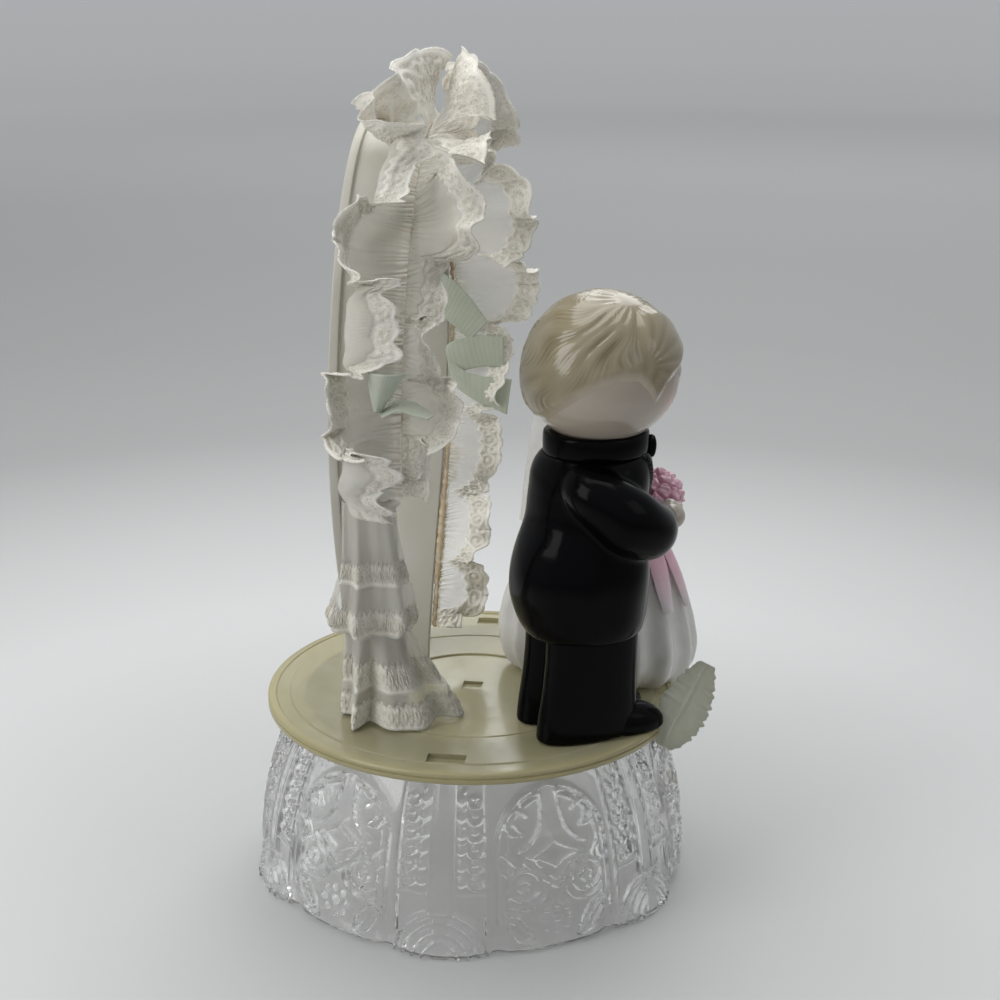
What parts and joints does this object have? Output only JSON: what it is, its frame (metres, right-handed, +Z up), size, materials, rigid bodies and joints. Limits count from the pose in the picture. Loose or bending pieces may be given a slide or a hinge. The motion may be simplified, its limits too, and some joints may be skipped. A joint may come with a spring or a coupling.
{
  "type": "wedding cake topper",
  "caption": "Bridal couple and a lace-dressed arch on a round plate over a hollow clear pedestal, made to stand on top of a cake.",
  "frame": {"origin": "on the pedestal's axis, at the surface that it stands on", "axes": "+Z up; the couple faces -Y; the groom stands on the -X side and the bride on the +X side"},
  "size_m": [0.1238, 0.1216, 0.2247],
  "materials": {
    "clear_plastic": "clear moulded polystyrene, glossy",
    "aged_plastic": "clear moulded plastic, yellowed and cloudy with age",
    "ivory_plastic": "opaque ivory moulded plastic, satin",
    "lace": "sheer organza with corded lace edges, yellowed cream",
    "gather_cord": "twisted thread, aged tan",
    "green_ribbon": "pale sage satin ribbon",
    "leaf_cloth": "woven leaf, frayed",
    "black_glaze": "black gloss glaze, worn along raised edges",
    "white_glaze": "white gloss glaze",
    "skin_glaze": "pale glaze with a peach blush",
    "blond_glaze": "tan-blond glaze over moulded strands",
    "brown_glaze": "brown glaze over moulded strands",
    "pink_glaze": "dusty pink satin glaze"
  },
  "bodies": {
    "pedestal": {"pedestal_skirt": "clear_plastic"},
    "plate": {"top_plate": "aged_plastic", "front_leaf": "leaf_cloth", "groom_leg_right": "black_glaze", "groom_leg_left": "black_glaze", "groom_shoe_right": "black_glaze", "groom_shoe_left": "black_glaze", "groom_coat": "black_glaze", "groom_collar": "black_glaze", "groom_sleeve_right": "black_glaze", "groom_sleeve_left": "black_glaze", "groom_hand_right": "skin_glaze", "groom_hand_left": "skin_glaze", "groom_shirt_front": "white_glaze", "groom_bow_tie": "black_glaze", "groom_face": "skin_glaze", "groom_hair": "blond_glaze", "bride_gown": "white_glaze", "bride_bodice": "white_glaze", "bride_sleeve_right": "white_glaze", "bride_sleeve_left": "white_glaze", "bride_arm_right": "skin_glaze", "bride_arm_left": "skin_glaze", "bride_face": "skin_glaze", "bride_hair": "brown_glaze", "bride_veil": "white_glaze", "bouquet": "pink_glaze", "streamer_right": "pink_glaze", "streamer_left": "pink_glaze"},
    "arch": {"arch_frame": "ivory_plastic", "gather_cord": "gather_cord", "lace_outer_near_low": "lace", "lace_front_near_low": "lace", "lace_outer_near_high": "lace", "lace_front_near_high": "lace", "lace_outer_crown_near": "lace", "lace_front_crown_near": "lace", "lace_outer_crown_far": "lace", "lace_front_crown_far": "lace", "lace_outer_far_high": "lace", "lace_front_far_high": "lace", "lace_outer_far_low": "lace", "lace_front_far_low": "lace", "lace_tail": "lace", "ribbon_leaf_1": "green_ribbon", "ribbon_leaf_2": "green_ribbon", "ribbon_leaf_3": "green_ribbon", "ribbon_leaf_4": "green_ribbon"}
  },
  "joints": [
    {"name": "plate_lift", "type": "slide", "parent": "pedestal", "child": "plate", "axis": [0, 0, 1], "range_m": [0, 0.03]},
    {"name": "arch_lift", "type": "slide", "parent": "plate", "child": "arch", "axis": [0, 0, 1], "range_m": [0, 0.02]}
  ]
}
